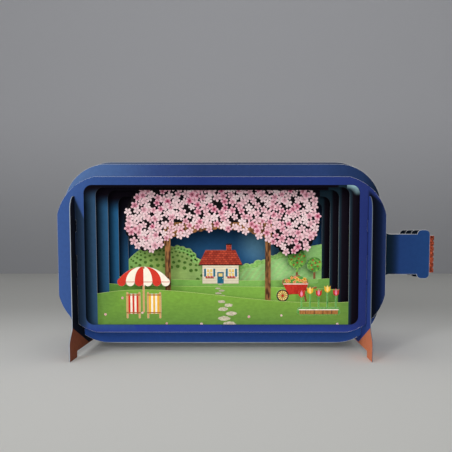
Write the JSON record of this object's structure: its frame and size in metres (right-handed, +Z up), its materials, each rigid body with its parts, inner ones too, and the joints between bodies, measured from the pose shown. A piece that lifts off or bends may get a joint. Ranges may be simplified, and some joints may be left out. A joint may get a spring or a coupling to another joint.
{
  "type": "pop-up greeting card",
  "caption": "Stand-up paper theatre card shaped like a bottle lying on its side, with upright die-cut frames slotted into two side walls with feet, and a garden scene inside.",
  "frame": {"origin": "on the table, under the middle of the whole card", "axes": "+X along the bottle towards its neck, +Y from the front frame to the back panel, +Z up"},
  "size_m": [0.2642, 0.13, 0.1379],
  "materials": {
    "blue_card": "smooth coated card, printed deep blue",
    "lawn_card": "smooth coated card, printed deep blue with a green lawn",
    "sky_card": "smooth coated card, printed dark blue and teal",
    "wall_card": "smooth coated card, printed deep blue with brown feet",
    "cork_card": "coated card printed in speckled cork brown",
    "blossom_card": "coated card printed with pink blossom on brown posts",
    "scene_card": "coated card printed in red, white, yellow and green"
  },
  "bodies": {
    "root": {"front_frame": "blue_card", "lawn_frame": "lawn_card", "meadow_frame": "lawn_card", "field_frame": "lawn_card", "hill_frame": "lawn_card", "sky_panel": "sky_card", "left_side_wall": "wall_card", "right_side_wall": "wall_card", "cork_tab": "cork_card", "flower_arch": "blossom_card", "wheelbarrow": "scene_card", "cottage": "scene_card", "round_trees": "scene_card", "parasol": "scene_card", "left_deck_chair": "scene_card", "right_deck_chair": "scene_card", "tulip_bed": "scene_card"}
  },
  "joints": []
}
